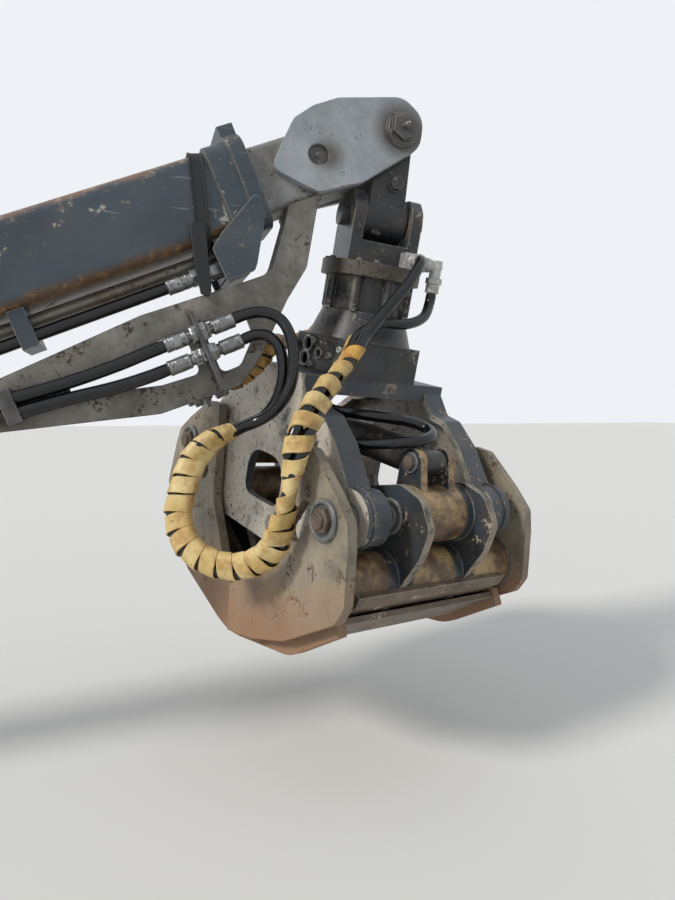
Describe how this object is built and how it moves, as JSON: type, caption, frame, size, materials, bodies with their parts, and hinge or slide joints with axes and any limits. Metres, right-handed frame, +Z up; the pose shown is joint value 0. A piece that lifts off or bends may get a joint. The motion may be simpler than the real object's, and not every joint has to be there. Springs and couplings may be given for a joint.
{
  "type": "forwarder crane jib with rotator and timber grapple",
  "caption": "Raised outer boom of a forwarder's loader crane with telescopic extension, hose carrier, swing link, rotator and closed timber grapple.",
  "frame": {"origin": "centre of the hinge bore at the jib's heel", "axes": "+X along the reach over the ground, +Y along the hinge bore, +Z up"},
  "size_m": [2.8678, 0.8535, 1.2136],
  "materials": {
    "boom_paint": "worn slate blue paint with rusty edges",
    "extension_paint": "weathered light grey paint",
    "dark_paint": "worn black paint over steel",
    "jaw_steel": "weathered grey steel with rust",
    "crown_paint": "worn dark blue grey paint",
    "worn_steel": "dirty brown steel",
    "zinc": "zinc plated steel",
    "rod_chrome": "hard chrome",
    "hose_rubber": "glossy black hose",
    "strap_rubber": "black rubber strap",
    "guard_plastic": "dirty yellow spiral guard over black hoses",
    "wrap": "dirty wrapped hose bundle"
  },
  "bodies": {
    "jib": {"jib_beam": "boom_paint", "jib_collar": "boom_paint", "carrier_guide": "boom_paint", "jib_heel": "boom_paint", "heel_boss": "boom_paint", "tube_clamps": "boom_paint", "steel_tubes": "zinc", "tube_ends": "zinc", "jib_hose": "hose_rubber", "strap": "strap_rubber", "strap_tail": "strap_rubber", "wear_pads": "strap_rubber"},
    "extension": {"inner_boom": "extension_paint", "tip_plates": "extension_paint", "nose_pin": "dark_paint", "tip_pin": "dark_paint", "hose_carrier": "extension_paint", "bulkhead": "extension_paint", "bulkhead_fittings": "zinc", "carrier_hoses": "hose_rubber", "hose_clips": "dark_paint", "tail_couplings": "zinc", "loop_guard": "guard_plastic", "loop_hoses": "hose_rubber", "far_bundle": "wrap"},
    "link": {"link": "dark_paint"},
    "head": {"cross_pin": "dark_paint", "rotator_head": "dark_paint", "rotator_flange": "dark_paint", "rotator_housing": "dark_paint", "rotator_elbows": "zinc"},
    "rotor": {"rotator_foot": "dark_paint", "port_manifold": "dark_paint", "crown": "crown_paint", "crown_hose": "hose_rubber"},
    "right_jaw": {"right_plates": "jaw_steel", "right_ribs": "crown_paint", "right_blade": "worn_steel", "right_pins": "dark_paint"},
    "left_jaw": {"left_plates": "jaw_steel", "left_ribs": "crown_paint", "left_blade": "worn_steel", "left_pins": "dark_paint"},
    "barrel": {"cylinder_barrel": "dark_paint"},
    "rod": {"cylinder_rod": "rod_chrome"}
  },
  "joints": [
    {"name": "extension_slide", "type": "slide", "parent": "jib", "child": "extension", "axis": [0.9205, 0, 0.3907], "range_m": [0, 1.2]},
    {"name": "link_swing", "type": "hinge", "parent": "extension", "child": "link", "pos_m": [2.36987, 0, 1.07113], "axis": [0, 1, 0], "range_deg": [-45, 2], "deforming": ["loop_guard", "loop_hoses", "far_bundle"]},
    {"name": "head_swing", "type": "hinge", "parent": "link", "child": "head", "pos_m": [2.34939, 0, 0.90438], "axis": [0.9925, 0, -0.1219], "range_deg": [-40, 20]},
    {"name": "rotor_turn", "type": "hinge", "parent": "head", "child": "rotor", "pos_m": [2.32299, 0.0382, 0.68934], "axis": [0.12, -0.1736, 0.9775], "continuous": true},
    {"name": "right_jaw_open", "type": "hinge", "parent": "rotor", "child": "right_jaw", "pos_m": [2.38304, -0.16368, 0.30236], "axis": [-0.9282, -0.3689, 0.0484], "range_deg": [0, 78]},
    {"name": "left_jaw_open", "type": "hinge", "parent": "rotor", "child": "left_jaw", "pos_m": [2.18229, 0.35678, 0.41947], "axis": [0.9282, 0.3689, -0.0484], "range_deg": [0, 78]},
    {"name": "barrel_turn", "type": "hinge", "parent": "right_jaw", "child": "barrel", "pos_m": [2.38787, -0.16301, 0.4001], "axis": [-0.9282, -0.3689, 0.0484], "range_deg": [-78, 0]},
    {"name": "rod_slide", "type": "slide", "parent": "barrel", "child": "rod", "axis": [-0.3522, 0.9131, 0.2055], "range_m": [-0.192, 0]}
  ],
  "couplings": [
    {"joint": "left_jaw_open", "follows": "right_jaw_open", "ratio": 1},
    {"joint": "barrel_turn", "follows": "right_jaw_open", "ratio": -1},
    {"joint": "rod_slide", "follows": "right_jaw_open", "m_per_rad": -0.14}
  ]
}
